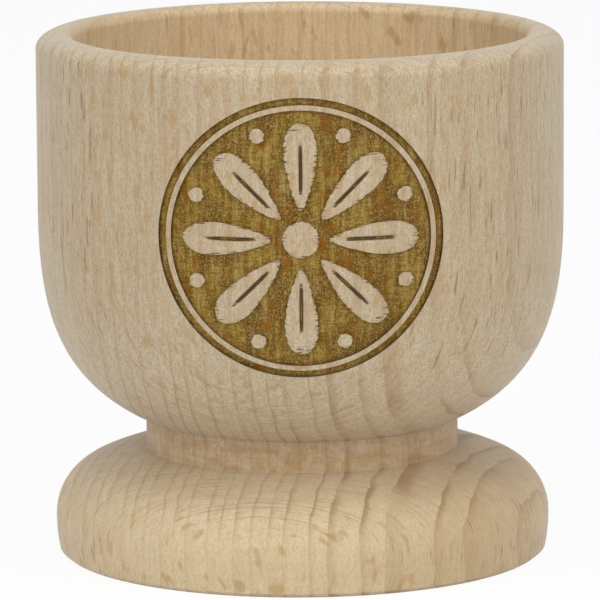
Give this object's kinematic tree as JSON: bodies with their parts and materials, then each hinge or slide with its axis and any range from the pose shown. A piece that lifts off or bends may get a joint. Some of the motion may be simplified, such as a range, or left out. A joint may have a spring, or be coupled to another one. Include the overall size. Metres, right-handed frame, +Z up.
{
  "type": "egg cup",
  "caption": "Footed egg cup turned in pale beech: round-bottomed bowl on a short neck and a rounded foot, with a scorched rosette medallion on the front of the bowl.",
  "frame": {"origin": "centre of the base, on the surface that the cup stands on", "axes": "+Z up along the turning axis, -Y towards the medallion on the front of the bowl"},
  "size_m": [0.048, 0.048, 0.0479],
  "materials": {
    "beech": "sanded, unvarnished",
    "scorched_beech": "laser-scorched, matt"
  },
  "bodies": {
    "root": {"turned_cup": "beech", "scorched_border": "scorched_beech", "scorched_field": "scorched_beech"}
  },
  "joints": []
}
